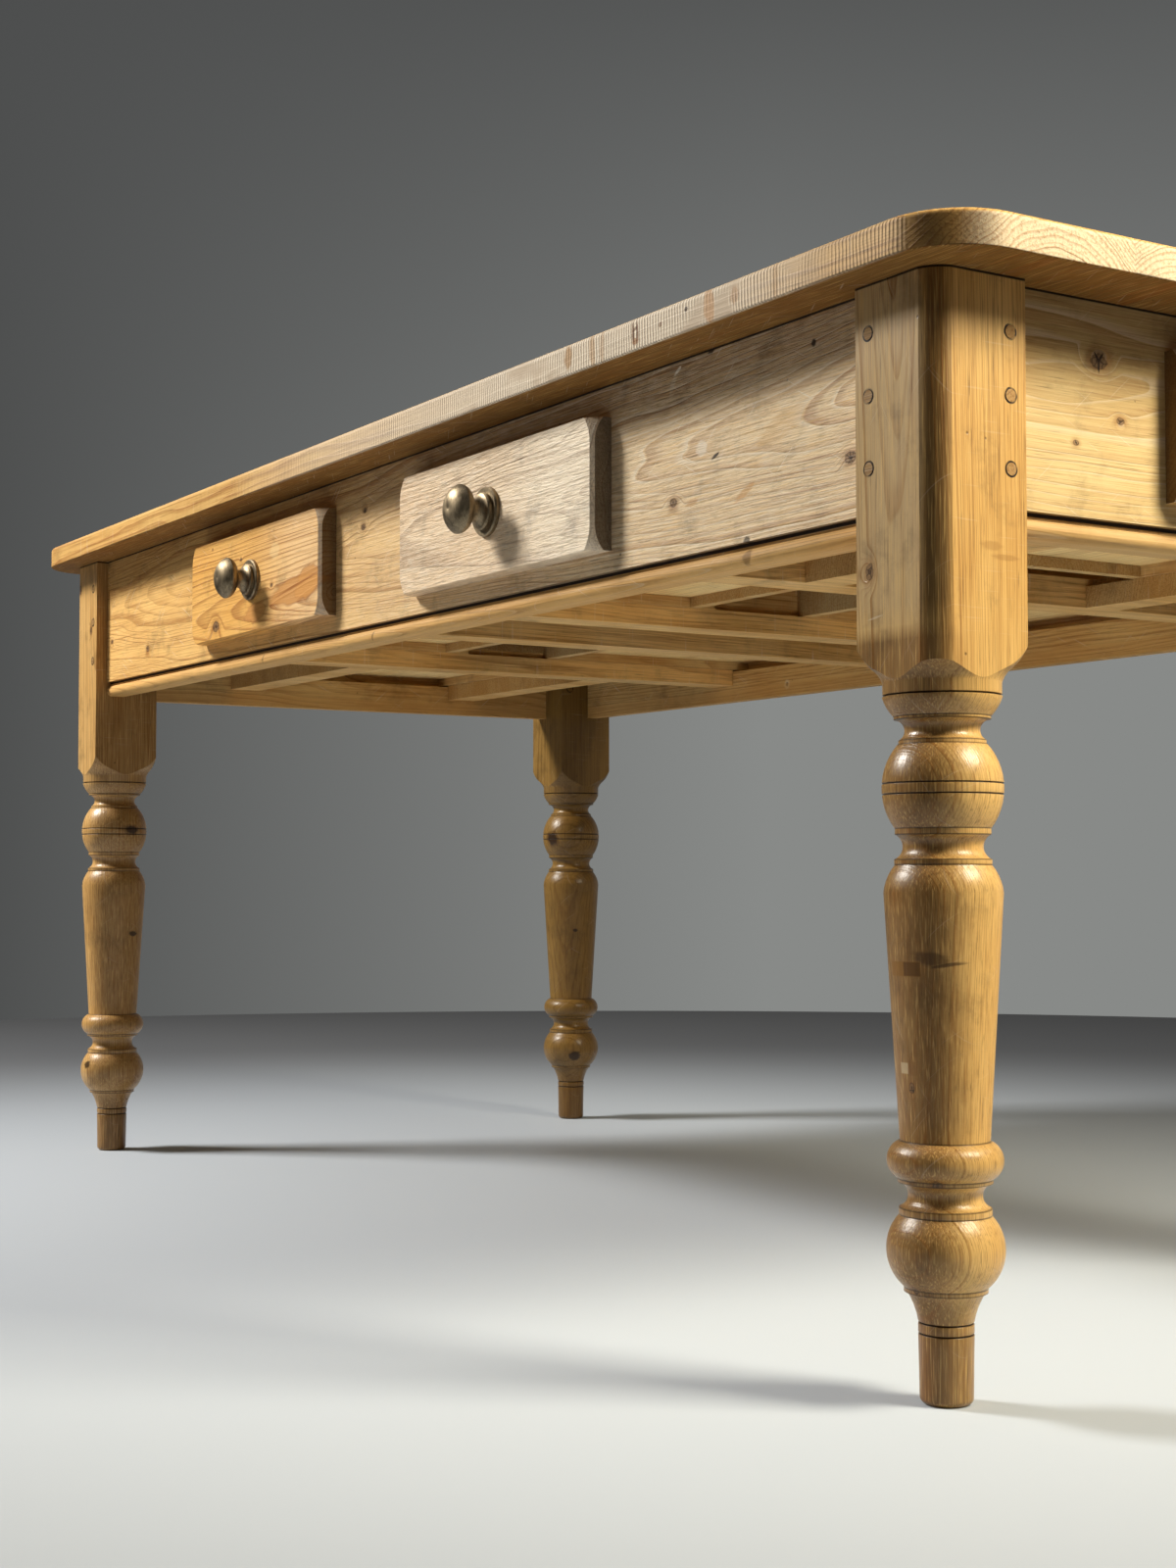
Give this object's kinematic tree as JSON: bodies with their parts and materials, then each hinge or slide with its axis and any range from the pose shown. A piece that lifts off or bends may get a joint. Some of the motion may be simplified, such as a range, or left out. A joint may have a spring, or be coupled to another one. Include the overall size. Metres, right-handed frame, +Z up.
{
  "type": "kitchen table with drawers",
  "caption": "Farmhouse kitchen table with turned legs, beaded aprons, a board top with rounded corners and drawers on both long sides and at both ends.",
  "frame": {"origin": "on the floor, under the middle of the table", "axes": "+X to the right end of the table, +Y to its back, +Z up"},
  "size_m": [1.744, 0.844, 0.76],
  "materials": {
    "frame_pine": "stripped and waxed, satin",
    "top_pine": "scrubbed and waxed, nearly matt",
    "front_pine": "stripped and waxed, satin",
    "box_pine": "bare, sanded",
    "rail_pine": "bare, sawn",
    "peg_wood": "waxed end grain",
    "knob_brass": "antique, dark and brushed",
    "screw_steel": "plain zinc"
  },
  "bodies": {
    "table_frame": {"apron_back": "frame_pine", "apron_front": "frame_pine", "apron_left": "frame_pine", "apron_right": "frame_pine", "drawer_kickers": "rail_pine", "drawer_runners": "rail_pine", "drawer_stops": "rail_pine", "joint_pegs": "peg_wood", "leg_back_left": "frame_pine", "leg_back_right": "frame_pine", "leg_front_left": "frame_pine", "leg_front_right": "frame_pine", "top_board_1": "top_pine", "top_board_2": "top_pine", "top_board_3": "top_pine", "top_board_4": "top_pine", "top_board_5": "top_pine", "top_screws": "screw_steel"},
    "drawer_front_left": {"drawer_front_left_back": "box_pine", "drawer_front_left_bottom": "box_pine", "drawer_front_left_front": "front_pine", "drawer_front_left_knob": "knob_brass", "drawer_front_left_knob_screw": "screw_steel", "drawer_front_left_side_left": "box_pine", "drawer_front_left_side_right": "box_pine"},
    "drawer_front_right": {"drawer_front_right_back": "box_pine", "drawer_front_right_bottom": "box_pine", "drawer_front_right_front": "front_pine", "drawer_front_right_knob": "knob_brass", "drawer_front_right_knob_screw": "screw_steel", "drawer_front_right_side_left": "box_pine", "drawer_front_right_side_right": "box_pine"},
    "drawer_back_left": {"drawer_back_left_back": "box_pine", "drawer_back_left_bottom": "box_pine", "drawer_back_left_front": "front_pine", "drawer_back_left_knob": "knob_brass", "drawer_back_left_knob_screw": "screw_steel", "drawer_back_left_side_left": "box_pine", "drawer_back_left_side_right": "box_pine"},
    "drawer_back_right": {"drawer_back_right_back": "box_pine", "drawer_back_right_bottom": "box_pine", "drawer_back_right_front": "front_pine", "drawer_back_right_knob": "knob_brass", "drawer_back_right_knob_screw": "screw_steel", "drawer_back_right_side_left": "box_pine", "drawer_back_right_side_right": "box_pine"},
    "drawer_end_left": {"drawer_end_left_back": "box_pine", "drawer_end_left_bottom": "box_pine", "drawer_end_left_front": "front_pine", "drawer_end_left_knob": "knob_brass", "drawer_end_left_knob_screw": "screw_steel", "drawer_end_left_side_left": "box_pine", "drawer_end_left_side_right": "box_pine"},
    "drawer_end_right": {"drawer_end_right_back": "box_pine", "drawer_end_right_bottom": "box_pine", "drawer_end_right_front": "front_pine", "drawer_end_right_knob": "knob_brass", "drawer_end_right_knob_screw": "screw_steel", "drawer_end_right_side_left": "box_pine", "drawer_end_right_side_right": "box_pine"}
  },
  "joints": [
    {"name": "drawer_front_left_slide", "type": "slide", "parent": "table_frame", "child": "drawer_front_left", "axis": [0, -1, 0], "range_m": [0, 0.22]},
    {"name": "drawer_front_right_slide", "type": "slide", "parent": "table_frame", "child": "drawer_front_right", "axis": [0, -1, 0], "range_m": [0, 0.22]},
    {"name": "drawer_back_left_slide", "type": "slide", "parent": "table_frame", "child": "drawer_back_left", "axis": [0, 1, 0], "range_m": [0, 0.22]},
    {"name": "drawer_back_right_slide", "type": "slide", "parent": "table_frame", "child": "drawer_back_right", "axis": [0, 1, 0], "range_m": [0, 0.22]},
    {"name": "drawer_end_left_slide", "type": "slide", "parent": "table_frame", "child": "drawer_end_left", "axis": [-1, 0, 0], "range_m": [0, 0.235]},
    {"name": "drawer_end_right_slide", "type": "slide", "parent": "table_frame", "child": "drawer_end_right", "axis": [1, 0, 0], "range_m": [0, 0.235]}
  ]
}
